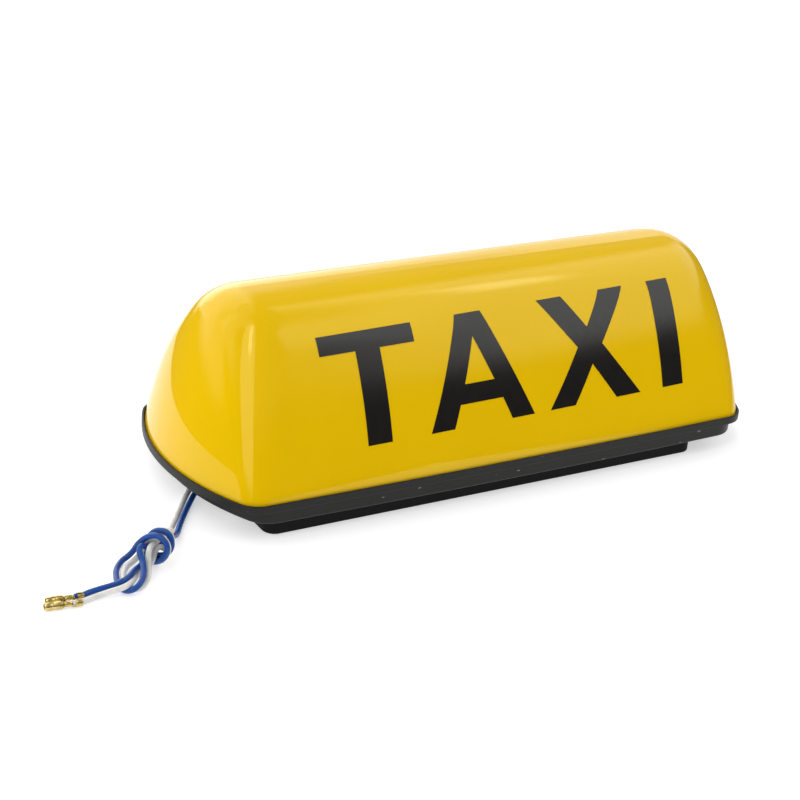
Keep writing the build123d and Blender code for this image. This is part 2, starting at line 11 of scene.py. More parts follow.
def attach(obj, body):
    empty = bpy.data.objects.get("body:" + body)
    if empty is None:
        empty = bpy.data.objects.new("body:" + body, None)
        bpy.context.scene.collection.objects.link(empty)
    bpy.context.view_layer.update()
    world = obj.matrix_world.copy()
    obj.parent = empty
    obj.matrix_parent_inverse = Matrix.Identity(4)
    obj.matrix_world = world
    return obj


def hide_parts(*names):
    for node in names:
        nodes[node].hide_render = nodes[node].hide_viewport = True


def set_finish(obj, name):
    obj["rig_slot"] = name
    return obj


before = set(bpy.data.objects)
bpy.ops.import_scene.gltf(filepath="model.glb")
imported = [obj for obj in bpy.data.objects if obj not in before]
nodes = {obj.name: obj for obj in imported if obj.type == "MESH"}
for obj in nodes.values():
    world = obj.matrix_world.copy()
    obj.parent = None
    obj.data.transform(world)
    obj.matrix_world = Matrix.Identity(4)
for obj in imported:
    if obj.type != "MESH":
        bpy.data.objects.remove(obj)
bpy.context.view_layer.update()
MM = 0.001


def link(obj):
    bpy.context.scene.collection.objects.link(obj)
    return obj


# Camera
AZIMUTH, ELEVATION, ROLL = math.radians(-32.41), math.radians(24.54), math.radians(5.07)
LOOKED_AT = Vector((-27.2, 9.2, 26.4)) * MM
DISTANCE = 1108.7 * MM
LENS = 89.71


def make_camera():
    back = Vector((
        math.sin(AZIMUTH) * math.cos(ELEVATION),
        -math.cos(AZIMUTH) * math.cos(ELEVATION),
        math.sin(ELEVATION),
    ))
    camera = link(bpy.data.objects.new("camera", bpy.data.cameras.new("camera")))
    camera.data.lens = LENS
    camera.location = LOOKED_AT + back * DISTANCE
    camera.rotation_mode = "QUATERNION"
    camera.rotation_quaternion = (-back).to_track_quat("-Z", "Y") @ Quaternion((0, 0, 1), ROLL)
    bpy.context.scene.camera = camera


make_camera()

# Wires: a blue and a white one side by side, tied in one double overhand knot.
# Each list is the wire's own route in millimetres, from the plinth to its socket, rounded to half a
# millimetre or finer. How the strands pass each other inside the knot is a guess.
WIRE_RADIUS = 1.5
BLUE_ROUTE = [
    (-145.6, -1.7, 5.0), (-150.5, -1.7, 5.0), (-158.5, -7.5, 3.0), (-169.5, -20.5, 1.6),
    (-180.5, -35.5, 1.6), (-187.0, -46.0, 1.8), (-192.5, -53.0, 6.0), (-200.5, -62.5, 10.0),
    (-204.0, -62.5, 9.0), (-208.0, -63.5, 8.5), (-213.5, -67.0, 12.0), (-217.0, -68.5, 13.5),
    (-218.5, -70.5, 11.5), (-218.0, -74.0, 8.5), (-219.5, -79.0, 7.0), (-222.5, -85.0, 5.5),
    (-226.5, -89.0, 4.5), (-230.0, -89.5, 3.0), (-232.5, -86.0, 1.5), (-233.0, -80.0, 1.5),
    (-231.0, -72.5, 1.5), (-228.0, -65.5, 1.5), (-223.0, -60.0, 2.0), (-219.5, -59.5, 3.5),
    (-217.0, -60.5, 6.5), (-215.5, -62.0, 11.0), (-213.0, -65.0, 15.5), (-211.0, -69.0, 18.5),
    (-208.5, -72.5, 19.0), (-206.5, -75.5, 16.5), (-206.0, -76.5, 12.5), (-207.0, -74.5, 7.5),
    (-208.5, -70.0, 3.5), (-209.5, -64.5, 1.5), (-209.5, -59.5, 2.0), (-209.0, -57.0, 6.0),
    (-208.0, -58.0, 11.5), (-206.0, -61.0, 16.0), (-203.5, -65.0, 17.5), (-201.5, -68.0, 16.5),
    (-200.5, -69.5, 12.0), (-201.5, -69.5, 8.0), (-204.0, -67.5, 5.0), (-206.5, -66.0, 5.0),
    (-210.5, -66.5, 5.0), (-213.5, -66.0, 4.5), (-217.5, -71.5, 4.5), (-223.0, -75.5, 5.0),
    (-228.5, -82.0, 6.0), (-233.5, -85.0, 6.0), (-238.0, -84.0, 4.5), (-243.0, -83.0, 3.5),
    (-250.0, -83.5, 3.0),
]
WHITE_ROUTE = [
    (-145.6, 1.7, 5.0), (-152.0, 1.7, 5.0), (-161.3, -4.9, 3.0), (-172.2, -18.5, 1.6),
    (-183.0, -33.4, 1.6), (-189.5, -42.0, 2.4), (-192.0, -51.5, 8.5), (-200.5, -61.0, 12.5),
    (-203.5, -62.0, 12.0), (-207.5, -65.0, 11.5), (-210.5, -68.0, 12.5), (-213.5, -71.5, 13.0),
    (-214.5, -72.5, 10.0), (-214.5, -73.0, 6.0), (-216.0, -77.5, 4.0), (-219.0, -82.5, 3.0),
    (-223.0, -86.0, 1.5), (-227.5, -87.0, 1.5), (-229.5, -83.0, 1.5), (-229.0, -76.5, 1.5),
    (-226.5, -70.5, 1.5), (-222.5, -65.0, 1.5), (-218.5, -63.0, 2.0), (-214.0, -60.5, 3.0),
    (-212.0, -60.5, 7.5), (-210.5, -63.0, 12.5), (-208.5, -66.5, 16.0), (-206.0, -70.0, 16.5),
    (-204.5, -72.5, 14.5), (-204.0, -73.0, 10.5), (-205.0, -71.0, 5.5), (-206.0, -67.5, 2.0),
    (-206.5, -63.5, 1.5), (-205.5, -58.5, 3.0), (-205.0, -57.5, 6.5), (-204.5, -57.5, 10.5),
    (-203.0, -59.0, 14.0), (-201.0, -62.0, 16.0), (-199.5, -65.0, 15.0), (-199.0, -66.5, 10.5),
    (-200.0, -66.0, 5.5), (-202.5, -65.5, 7.5), (-205.5, -66.0, 9.5), (-208.0, -67.0, 9.5),
    (-209.0, -68.0, 8.0), (-211.5, -71.0, 5.5), (-213.5, -70.0, 1.5), (-217.5, -71.0, 1.5),
    (-223.0, -77.5, 2.5), (-229.5, -86.5, 5.0), (-235.5, -89.0, 5.0), (-241.0, -87.5, 3.5),
    (-248.5, -87.0, 2.0),
]
BLUE_SOCKET, BLUE_AIM = Vector((-252.5, -84.4, 2.7)), Vector((-0.991, 0.13, -0.033)).normalized()
WHITE_SOCKET, WHITE_AIM = Vector((-255.0, -88.9, 2.1)), Vector((-0.991, 0.13, 0.0)).normalized()
STRIPPED_AT = 4.4


def wire(name, route):
    """A round insulated wire along a smooth curve."""
    curve = bpy.data.curves.new(name, "CURVE")
    curve.dimensions = "3D"
    curve.resolution_u = 12
    spline = curve.splines.new("NURBS")
    spline.points.add(len(route) - 1)
    for control, place in zip(spline.points, route):
        control.co = (*(Vector(place) * MM), 1.0)
        control.radius = WIRE_RADIUS * MM
    spline.order_u = 3
    spline.use_endpoint_u = True
    curve.bevel_depth = 1.0
    curve.bevel_resolution = 7
    curve.use_fill_caps = True
    return link(bpy.data.objects.new(name, curve))


def stripped_end(start, aim):
    """The wire's last two points, at its socket's mouth and where its insulation stops inside it."""
    return [tuple(start), tuple(start + STRIPPED_AT * aim)]


blue_wire = wire("blue_wire", BLUE_ROUTE + stripped_end(BLUE_SOCKET, BLUE_AIM))
white_wire = wire("white_wire", WHITE_ROUTE + stripped_end(WHITE_SOCKET, WHITE_AIM))

# Sockets: one strip of brass rolled round the wire, round its bare strands and into an open barrel.
# Each station is a distance along the axis, an outer radius and how many degrees stay open on top.
SHEET = 0.32
SEAM_SHARP = 35
STATIONS = [
    (0.0, 1.98, 26), (0.25, 1.9, 20), (2.8, 1.9, 20), (3.0, 1.96, 30), (3.05, 1.96, 150), (3.5, 1.9, 215),
    (4.6, 1.75, 225), (5.2, 1.5, 200), (5.3, 1.42, 60), (5.4, 1.36, 14), (8.5, 1.36, 14), (8.6, 1.42, 60),
    (8.7, 1.5, 190), (9.3, 1.75, 205), (9.9, 2.0, 180), (10.0, 2.05, 60), (10.1, 2.06, 12), (10.5, 2.0, 12),
    (13.2, 2.0, 12), (13.4, 1.9, 12), (14.2, 1.9, 12), (14.4, 2.0, 12), (16.6, 2.0, 12), (17.5, 1.82, 14),
    (18.0, 1.62, 16),
]
ARC_STEPS = 28
STRANDS = 7
STRAND_RADIUS, STRAND_RING, STRAND_TWIST = 0.3, 0.62, 0.9
STRAND_START, STRAND_LENGTH = STRIPPED_AT - 0.4, 9.6 - STRIPPED_AT
STRAND_STEPS, STRAND_SIDES = 12, 8


def axes_of(aim, turn):
    """Two unit vectors across an axis, the second of them pointing up and then turned about the axis."""
    side = aim.cross(Vector((0, 0, 1))).normalized()
    up = side.cross(aim)
    spin = Quaternion(aim, math.radians(turn))
    return spin @ side, spin @ up


def socket(name, start, aim, turn):
    """A crimped socket of rolled sheet, with the wire's bare strands inside it."""
    side, up = axes_of(aim, turn)
    mesh = bmesh.new()
    rings = []
    for along, radius, gap in STATIONS:
        ring = []
        angles = [math.radians(gap / 2 + (360 - gap) * step / ARC_STEPS) for step in range(ARC_STEPS + 1)]
        for level, sweep in ((radius, angles), (radius - SHEET, angles[::-1])):
            for angle in sweep:
                place = start + aim * along + level * (math.sin(angle) * side + math.cos(angle) * up)
                ring.append(mesh.verts.new(place * MM))
        rings.append(ring)
    count = len(rings[0])
    for low, high in zip(rings, rings[1:]):
        for step in range(count):
            after = (step + 1) % count
            mesh.faces.new((low[step], low[after], high[after], high[step]))
    for ring, order in ((rings[0], -1), (rings[-1], 1)):
        for step in range(ARC_STEPS):
            face = (ring[step], ring[step + 1], ring[count - 2 - step], ring[count - 1 - step])
            mesh.faces.new(face[::order])
    for number in range(STRANDS):
        spread = 0.0 if number == 0 else STRAND_RING
        strand = []
        for step in range(STRAND_STEPS + 1):
            along = STRAND_START + STRAND_LENGTH * step / STRAND_STEPS
            angle = math.tau * number / (STRANDS - 1) + STRAND_TWIST * along
            middle = start + aim * along + spread * (math.cos(angle) * side + math.sin(angle) * up)
            strand.append([
                mesh.verts.new((middle + STRAND_RADIUS * (math.cos(a) * side + math.sin(a) * up)) * MM)
                for a in (math.tau * k / STRAND_SIDES for k in range(STRAND_SIDES))
            ])
        for low, high in zip(strand, strand[1:]):
            for k in range(STRAND_SIDES):
                after = (k + 1) % STRAND_SIDES
                mesh.faces.new((low[k], low[after], high[after], high[k])).material_index = 1
        for cap, order in ((strand[0], -1), (strand[-1], 1)):
            mesh.faces.new(cap[::order]).material_index = 1
    return finished(name, mesh, SEAM_SHARP)


def finished(name, mesh, sharp):
    """A bmesh as an object with smooth faces and edges that are sharp beyond an angle."""
    bmesh.ops.recalc_face_normals(mesh, faces=mesh.faces)
    data = bpy.data.meshes.new(name)
    mesh.to_mesh(data)
    mesh.free()
    data.shade_smooth()
    data.set_sharp_from_angle(angle=math.radians(sharp))
    return link(bpy.data.objects.new(name, data))


blue_socket = socket("blue_crimp_socket", BLUE_SOCKET, BLUE_AIM, -20)
white_socket = socket("white_crimp_socket", WHITE_SOCKET, WHITE_AIM, 15)
for piece, place in ((blue_wire, "blue"), (white_wire, "white")):
    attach(piece, "base")
    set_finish(piece, f"{place}_wire")
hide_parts("blue_wire_run", "wire_knot", "blue_wire_tail")
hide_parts("white_wire_run", "white_wire_tail")
for piece, node in ((blue_socket, "blue_socket"), (white_socket, "white_socket")):
    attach(piece, "base")
    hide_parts(node)
    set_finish(piece, "contact_brass")

# Cover: a thin shell whose sides and ends lean and bow
HEIGHT = 110.0
RIM_TOP = 20.7
COVER_FOOT = 19.2
COVER_WALL = 2.6
HALF_LENGTH, HALF_WIDTH = 173.1, 67.1
FRONT_LEAN, END_LEAN = (11.3, 30.9), (7.2, 22.2)
FRONT_TOP_ARC, END_TOP_ARC = 44.4, 21.1
END_BOW, END_BOW_LOSS, FRONT_SAG = 125.0, 47.0, 2.3
LOW_CORNER, HIGH_CORNER, CORNER_SHARE = 13.8, 33.6, 0.93
FRONT_STEPS, CORNER_STEPS, END_STEPS = 40, 16, 16
WALL_STEPS, CAP_STEPS = 24, 8
SHELL_SHARP = 40


def lean(z, half, angles, top_arc, inset):
    """Half the cover's length or width at height z, with the surface moved inwards by inset."""
    low, high = (math.radians(angle) for angle in angles)
    knee = HEIGHT - top_arc * (1 - math.sin(high))
    side_arc = (knee - RIM_TOP) / (math.sin(high) - math.sin(low))
    side_x = half - side_arc * math.cos(low)
    side_z = RIM_TOP - side_arc * math.sin(low)
    top_x = side_x + (side_arc - top_arc) * math.cos(high)
    top_z = knee - top_arc * math.sin(high)
    if z <= side_z + (side_arc - inset) * math.sin(high):
        return side_x + math.sqrt((side_arc - inset) ** 2 - (z - side_z) ** 2)
    return top_x + math.sqrt(max((top_arc - inset) ** 2 - (z - top_z) ** 2, 0))


def section(z, inset):
    """The cover's outline at height z: its half length, half width, corner, end bow and front sag."""
    rise = (z - RIM_TOP) / (HEIGHT - RIM_TOP)
    half_x = lean(z, HALF_LENGTH, END_LEAN, END_TOP_ARC, inset)
    half_y = lean(z, HALF_WIDTH, FRONT_LEAN, FRONT_TOP_ARC, inset)
    wanted = LOW_CORNER + (HIGH_CORNER - LOW_CORNER) * rise - inset
    corner = (wanted**-4 + (CORNER_SHARE * half_y) ** -4) ** -0.25
    return half_x, half_y, corner, END_BOW - END_BOW_LOSS * rise - inset, FRONT_SAG * half_y / HALF_WIDTH


def arc(middle, radius, start, stop, steps):
    """Points on an arc, its last one left out."""
    angles = (start + (stop - start) * step / steps for step in range(steps))
    return [(middle[0] + radius * math.cos(a), middle[1] + radius * math.sin(a)) for a in angles]


def outline(half_x, half_y, corner, end_bow, front_sag):
    """A rounded rectangle whose four sides bow outwards, as a ring of points from the middle of the front."""
    front_bow = (half_x**2 + front_sag**2) / (2 * front_sag)
    front = Vector((0, front_bow - half_y))
    end = Vector((half_x - end_bow, 0))
    apart = (end - front).length
    reach, other = front_bow - corner, end_bow - corner
    along = (reach**2 - other**2 + apart**2) / (2 * apart)
    aside = math.sqrt(reach**2 - along**2)
    unit = (end - front) / apart
    middle = front + along * unit + aside * Vector((-unit.y, unit.x))
    if middle.y > 0:
        middle = front + along * unit - aside * Vector((-unit.y, unit.x))
    start = math.atan2(middle.y - front.y, middle.x - front.x)
    stop = math.atan2(middle.y - end.y, middle.x - end.x)
    quarter = arc(front, front_bow, -math.pi / 2, start, FRONT_STEPS)
    quarter += arc(middle, corner, start, stop, CORNER_STEPS)
    quarter += arc(end, end_bow, stop, 0, END_STEPS) + [(half_x, 0)]
    right = quarter + [(x, -y) for x, y in quarter[-2::-1]]
    return right + [(-x, y) for x, y in right[-2:0:-1]]


def shell_heights(inset):
    """Heights of a shell's rings: even up to the front's knee, then by angle up to the top."""
    top = HEIGHT - inset
    knee = HEIGHT - FRONT_TOP_ARC * (1 - math.sin(math.radians(FRONT_LEAN[1])))
    heights = [COVER_FOOT + (knee - COVER_FOOT) * step / WALL_STEPS for step in range(WALL_STEPS)]
    angles = [math.radians(90 * step / WALL_STEPS) for step in range(WALL_STEPS + 1)]
    return heights + [top - (top - knee) * (1 - math.sin(angle)) for angle in angles]


def shell(mesh, inset):
    """One closed-topped surface of the cover; returns its lowest ring."""
    rings = []
    for height in shell_heights(inset):
        ring = outline(*section(height, inset))
        rings.append([mesh.verts.new((x * MM, y * MM, height * MM)) for x, y in ring])
    for low, high in zip(rings, rings[1:]):
        for step in range(len(low)):
            after = (step + 1) % len(low)
            mesh.faces.new((low[step], low[after], high[after], high[step]))
    cap, half = rings[-1], len(rings[-1]) // 2
    columns = []
    for step in range(half + 1):
        near = cap[(step - half // 2) % len(cap)]
        far = cap[(half + half // 2 - step) % len(cap)]
        if near is far:
            columns.append([near] * (CAP_STEPS + 1))
            continue
        between = [mesh.verts.new(near.co.lerp(far.co, k / CAP_STEPS)) for k in range(1, CAP_STEPS)]
        columns.append([near, *between, far])
    for left, right in zip(columns, columns[1:]):
        for k in range(CAP_STEPS):
            mesh.faces.new(list(dict.fromkeys((left[k], right[k], right[k + 1], left[k + 1]))))
    return rings[0]


# Four screw posts under the cover, each tied to the end wall by a rib
POST_RADIUS, POST_BORE, POST_LID = 4.5, 2.0, 6.0
POST_FOOT, POST_TOP = 12.3, 44.0
POST_EDGE = 0.3
POST_SIDES = 40
POST_PLACES = [(x * 151.5, y * 36.0) for x in (-1, 1) for y in (-1, 1)]
RIB_HALF, RIB_BITE = 1.0, 0.5


def post(mesh, x, y):
    """An upright post with a blind bore from below and rounded-off lower edges."""
    def circle(size, height):
        angles = (math.tau * k / POST_SIDES for k in range(POST_SIDES))
        places = (Vector((x + size * math.cos(a), y + size * math.sin(a), height)) for a in angles)
        return [mesh.verts.new(place * MM) for place in places]

    rings = [
        circle(POST_BORE, POST_TOP - POST_LID),
        circle(POST_BORE, POST_FOOT + POST_EDGE),
        circle(POST_BORE + POST_EDGE, POST_FOOT),
        circle(POST_RADIUS - POST_EDGE, POST_FOOT),
        circle(POST_RADIUS, POST_FOOT + POST_EDGE),
        circle(POST_RADIUS, POST_TOP),
    ]
    for low, high in zip(rings, rings[1:]):
        for k in range(POST_SIDES):
            after = (k + 1) % POST_SIDES
            mesh.faces.new((low[k], low[after], high[after], high[k]))
    mesh.faces.new(rings[0])
    mesh.faces.new(rings[-1])


def block(mesh, low, high):
    """A box between two corners."""
    xs, ys, zs = zip(low, high)
    corners = [mesh.verts.new(Vector((x, y, z)) * MM) for x in xs for y in ys for z in zs]
    for face in ((0, 1, 3, 2), (4, 6, 7, 5), (0, 4, 5, 1), (2, 3, 7, 6), (0, 2, 6, 4), (1, 5, 7, 3)):
        mesh.faces.new([corners[k] for k in face])


def make_cover():
    """Two shells joined along the foot, with the posts and their ribs inside."""
    mesh = bmesh.new()
    outer = shell(mesh, 0.0)
    inner = shell(mesh, COVER_WALL)
    count = len(outer)
    for step in range(count):
        after = (step + 1) % count
        mesh.faces.new((outer[after], outer[step], inner[step], inner[after]))
    for x, y in POST_PLACES:
        post(mesh, x, y)
        end = lean(POST_TOP, HALF_LENGTH, END_LEAN, END_TOP_ARC, COVER_WALL / 2)
        reach = END_BOW - math.sqrt(END_BOW**2 - y**2)
        left, right = sorted((x + math.copysign(POST_RADIUS - RIB_BITE, x), math.copysign(end - reach, x)))
        block(mesh, (left, y - RIB_HALF, COVER_FOOT), (right, y + RIB_HALF, POST_TOP))
    return finished("cover_shell", mesh, SHELL_SHARP)


cover = make_cover()
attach(cover, "cover")
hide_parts("cover_dome")
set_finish(cover, "yellow_cover")

# Lettering: plain straight-edged capitals cut from thin film, wrapped on the cover's long sides.
# Each letter has its middle along the sign and its loops of corners, an outline and then any hole.
FILM, FILM_SUNK = 0.2, 0.05
CAP = 53.3
STEM = 7.1
LETTER_FOOT = 42.6
LEGEND_MIDDLE = 2.4
LETTER_TILT = math.radians(0.85)
T_BAR, T_HALF = 8.3, 27.8
LETTERS = {
    "T": (-81.7, [[
        (-T_HALF, CAP), (-T_HALF, CAP - T_BAR), (-STEM, CAP - T_BAR), (-STEM, 0), (STEM, 0),
        (STEM, CAP - T_BAR), (T_HALF, CAP - T_BAR), (T_HALF, CAP),
    ]]),
    "A": (-18.8, [
        [(-8.0, CAP), (-32.3, 0), (-18.1, 0), (-13.3, 11.5), (13.3, 11.5), (18.1, 0), (32.3, 0), (8.0, CAP)],
        [(-9.3, 21.0), (9.3, 21.0), (0, 43.0)],
    ]),
    "X": (54.2, [[
        (-28.7, CAP), (-8.1, 28.6), (-30.2, 0), (-13.9, 0), (0, 19.4), (13.9, 0), (30.2, 0), (8.1, 28.6),
        (28.7, CAP), (12.7, CAP), (0, 37.6), (-12.7, CAP),
    ]]),
    "I": (107.2, [[(-STEM, CAP), (-STEM, 0), (STEM, 0), (STEM, CAP)]]),
}
FILM_GRID = 3.0
LETTER_REACH = 36.0


def front_face(x, z, inset):
    """The cover's front surface at a place on the long side, as a point in millimetres."""
    half_x, half_y, _, _, front_sag = section(z, inset)
    bow = (half_x**2 + front_sag**2) / (2 * front_sag)
    return Vector((x, bow - half_y - math.sqrt(bow**2 - x**2), z))


def film_letter(middle, loops):
    """A letter's flat shape, cut into a fine grid; x is along the sign and z is height."""
    mesh = bmesh.new()
    flat = [[Vector((x, z, 0)) for x, z in loop] for loop in loops]
    corners = [mesh.verts.new((x, 0, z)) for loop in loops for x, z in loop]
    for triangle in tessellate_polygon(flat):
        mesh.faces.new([corners[k] for k in triangle])
    bmesh.ops.dissolve_limit(mesh, angle_limit=0.01, verts=mesh.verts, edges=mesh.edges)
    for axis, low, high in ((0, -LETTER_REACH, LETTER_REACH), (2, 0.0, CAP)):
        steps = int((high - low) / FILM_GRID)
        for step in range(1, steps + 1):
            place, normal = Vector((0, 0, 0)), Vector((0, 0, 0))
            place[axis], normal[axis] = low + (high - low) * step / (steps + 1), 1
            bmesh.ops.bisect_plane(
                mesh, geom=[*mesh.verts, *mesh.edges, *mesh.faces], dist=1e-5,
                plane_co=place, plane_no=normal,
            )
    turn = Quaternion((0, -1, 0), LETTER_TILT)
    pivot = Vector((LEGEND_MIDDLE, 0, LETTER_FOOT + CAP / 2))
    for vert in mesh.verts:
        vert.co = turn @ (vert.co + Vector((middle, 0, LETTER_FOOT)) - pivot) + pivot
    return mesh


def make_legend(name, side):
    """The four letters of one long side; side is 1 for the front and -1 for the back."""
    whole = bmesh.new()
    for middle, loops in LETTERS.values():
        flat = film_letter(middle, loops)
        levels = []
        for inset in (-FILM, FILM_SUNK):
            levels.append({v: whole.verts.new(front_face(v.co.x, v.co.z, inset) * MM) for v in flat.verts})
        front, back = levels
        for face in flat.faces:
            whole.faces.new([front[v] for v in face.verts])
            whole.faces.new([back[v] for v in reversed(face.verts)])
        for edge in flat.edges:
            if edge.is_boundary:
                a, b = edge.verts
                whole.faces.new((front[a], front[b], back[b], back[a]))
        flat.free()
    if side < 0:
        for vert in whole.verts:
            vert.co.x, vert.co.y = -vert.co.x, -vert.co.y
    return finished(name, whole, SHELL_SHARP)


legends = []
for name, side in (("legend_front", 1), ("legend_back", -1)):
    letters = make_legend(f"{name}_film", side)
    legends.append(letters)
    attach(letters, "cover")
    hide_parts(name)
    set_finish(letters, "black_film")


# Materials
class Finish:
    """A Principled material whose colour, roughness and bump get fine detail from noise."""

    def __init__(self, name, **inputs):
        self.material = bpy.data.materials.new(name)
        self.material.use_nodes = True
        self.tree = self.material.node_tree
        self.shader = self.tree.nodes["Principled BSDF"]
        for label, value in inputs.items():
            self.shader.inputs[label.replace("_", " ")].default_value = value
        self.place = self.add("ShaderNodeTexCoord").outputs["Object"]
        self.bumped = None

    def add(self, kind, **inputs):
        node = self.tree.nodes.new(kind)
        for label, value in inputs.items():
            self.plug(node.inputs[label.replace("_", " ")], value)
        return node

    def plug(self, target, value):
        if isinstance(value, bpy.types.NodeSocket):
            self.tree.links.new(value, target)
        else:
            target.default_value = value

    def noise(self, scale, detail=3.0, roughness=0.55, stretch=None):
        """Noise with features about 1/scale metres across."""
        place = self.place
        if stretch:
            place = self.add("ShaderNodeMapping", Vector=place, Scale=stretch).outputs["Vector"]
        node = self.add("ShaderNodeTexNoise", Vector=place, Scale=scale, Detail=detail, Roughness=roughness)
        return node.outputs["Fac"]

    def ramp(self, value, low, high, to_low, to_high):
        """The value's range from low to high mapped to another, and clamped."""
        node = self.add("ShaderNodeMapRange", Value=value)
        for label, number in (("From Min", low), ("From Max", high), ("To Min", to_low), ("To Max", to_high)):
            node.inputs[label].default_value = number
        return node.outputs["Result"]

    def maths(self, operation, a, b):
        node = self.add("ShaderNodeMath")
        node.operation = operation
        self.plug(node.inputs[0], a)
        self.plug(node.inputs[1], b)
        return node.outputs["Value"]

    def mix(self, share, a, b):
        """Colour a where share is 0 and colour b where it is 1."""
        node = self.add("ShaderNodeMix")
        node.data_type = "RGBA"
        self.plug(node.inputs["Factor"], share)
        for target, colour in ((node.inputs[6], a), (node.inputs[7], b)):
            self.plug(target, colour if isinstance(colour, bpy.types.NodeSocket) else (*colour, 1.0))
        return node.outputs[2]

    def colour(self, value):
        self.plug(self.shader.inputs["Base Color"], value)
        return self

    def roughness(self, value):
        self.plug(self.shader.inputs["Roughness"], value)
        return self

    def bump(self, height, distance, strength=1.0):
        """Adds a bump layer; distance is its depth in metres."""
        node = self.add("ShaderNodeBump", Height=height, Distance=distance, Strength=strength)
        if self.bumped:
            self.tree.links.new(self.bumped, node.inputs["Normal"])
        self.bumped = node.outputs["Normal"]
        self.tree.links.new(self.bumped, self.shader.inputs["Normal"])
        return self

    def round_edges(self, radius):
        """Shades sharp edges as if they were rounded."""
        node = self.add("ShaderNodeBevel", Radius=radius)
        node.samples = 4
        self.bumped = node.outputs["Normal"]
        self.tree.links.new(self.bumped, self.shader.inputs["Normal"])
        return self

    def edge_wear(self, radius):
        """0 on flat surfaces and up to 1 along sharp edges."""
        bevel = self.add("ShaderNodeBevel", Radius=radius)
        bevel.samples = 4
        normal = self.add("ShaderNodeNewGeometry").outputs["Normal"]
        product = self.add("ShaderNodeVectorMath")
        product.operation = "DOT_PRODUCT"
        self.plug(product.inputs[0], bevel.outputs["Normal"])
        self.plug(product.inputs[1], normal)
        return self.ramp(product.outputs["Value"], 0.995, 0.9, 0.0, 1.0)


def yellow_plastic():
    """Moulded glossy acrylic, faintly uneven, with light dust and hair scratches."""
    f = Finish("yellow_cover", IOR=1.49, Specular_Tint=(1.0, 0.95, 0.45, 1.0))
    cloud = f.noise(14.0, 2.0)
    f.colour(f.mix(f.ramp(cloud, 0.35, 0.65, 0.0, 1.0), (0.76, 0.472, 0.0), (0.78, 0.488, 0.0)))
    dust = f.ramp(f.noise(2600.0, 2.0), 0.70, 0.80, 0.0, 0.10)
    scratch = f.ramp(f.noise(700.0, 2.0, stretch=(0.05, 1.0, 1.0)), 0.68, 0.74, 0.0, 0.08)
    base = f.ramp(f.noise(30.0, 3.0), 0.3, 0.7, 0.03, 0.06)
    f.roughness(f.maths("ADD", base, f.maths("ADD", dust, scratch)))
    f.bump(f.noise(45.0, 2.0), 0.00003, 0.5)
    f.bump(f.noise(1500.0, 2.0), 0.000002, 0.3)
    return f.material


def black_film():
    """Glossy cut vinyl with a faint orange-peel."""
    f = Finish("black_film", IOR=1.5)
    cloud = f.ramp(f.noise(120.0), 0.3, 0.7, 0.0, 1.0)
    f.colour(f.mix(cloud, (0.0075, 0.0065, 0.005), (0.0105, 0.009, 0.0075)))
    f.roughness(f.ramp(f.noise(300.0, 3.0), 0.3, 0.7, 0.10, 0.16))
    f.bump(f.noise(260.0, 2.0), 0.000008, 0.35)
    return f.material


def moulded(
    name, dark, light, rough, grain, depth, wear=(0.1, 0.1, 0.1), wear_share=0.25, ior=1.4, flecks=0.0
):
    """Moulded plastic or rubber with a fine grain, uneven gloss, rubbed edges and a few pale flecks."""
    f = Finish(name, IOR=ior)
    f.round_edges(0.0005)
    cloud = f.ramp(f.noise(40.0, 4.0), 0.3, 0.7, 0.0, 1.0)
    edge = f.maths("MULTIPLY", f.edge_wear(0.0007), wear_share)
    fleck = f.ramp(f.noise(420.0, 1.0, stretch=(0.5, 1.0, 1.0)), 0.75, 0.79, 0.0, flecks)
    worn = f.mix(edge, f.mix(cloud, dark, light), wear)
    f.colour(f.mix(fleck, worn, (0.30, 0.29, 0.27)))
    gloss = f.ramp(f.noise(grain, 2.0), 0.3, 0.7, rough - 0.06, rough + 0.08)
    f.roughness(f.maths("ADD", gloss, f.ramp(cloud, 0.0, 1.0, -0.03, 0.03)))
    f.bump(f.noise(grain, 3.0, 0.6), depth)
    f.bump(f.noise(90.0, 2.0), 0.00008, 0.4)
    return f.material


def metal(name, dark, light, rough, brush=(1.0, 1.0, 1.0)):
    """Bare or plated metal with fine scratches and dull patches."""
    f = Finish(name, Metallic=1.0)
    f.round_edges(0.00015)
    patch = f.ramp(f.noise(260.0, 4.0), 0.35, 0.7, 0.0, 1.0)
    f.colour(f.mix(patch, light, dark))
    scratch = f.noise(900.0, 3.0, stretch=brush)
    dull = f.ramp(patch, 0.0, 1.0, rough, rough + 0.14)
    f.roughness(f.maths("ADD", dull, f.ramp(scratch, 0.4, 0.7, 0.0, 0.08)))
    f.bump(scratch, 0.00002, 0.6)
    return f.material


def wire_plastic(name, dark, light, rough=0.3):
    """Soft PVC insulation with a satin skin, small scuffs and a slightly wavy surface."""
    f = Finish(name, IOR=1.42)
    f.colour(f.mix(f.ramp(f.noise(220.0, 4.0), 0.3, 0.7, 0.0, 1.0), dark, light))
    f.roughness(f.ramp(f.noise(1200.0, 3.0), 0.3, 0.7, rough, rough + 0.14))
    f.bump(f.noise(450.0, 2.0), 0.00005, 0.5)
    f.bump(f.noise(3000.0, 2.0), 0.000008, 0.6)
    return f.material


def clear_glass():
    """Lamp glass with faint ripples."""
    f = Finish("lamp_glass", Transmission_Weight=1.0, IOR=1.5)
    f.colour(f.mix(f.ramp(f.noise(150.0), 0.3, 0.7, 0.0, 1.0), (0.97, 0.98, 0.97), (0.99, 0.99, 0.98)))
    f.roughness(f.ramp(f.noise(300.0), 0.3, 0.7, 0.0, 0.03))
    f.bump(f.noise(180.0, 2.0), 0.00005, 0.5)
    return f.material


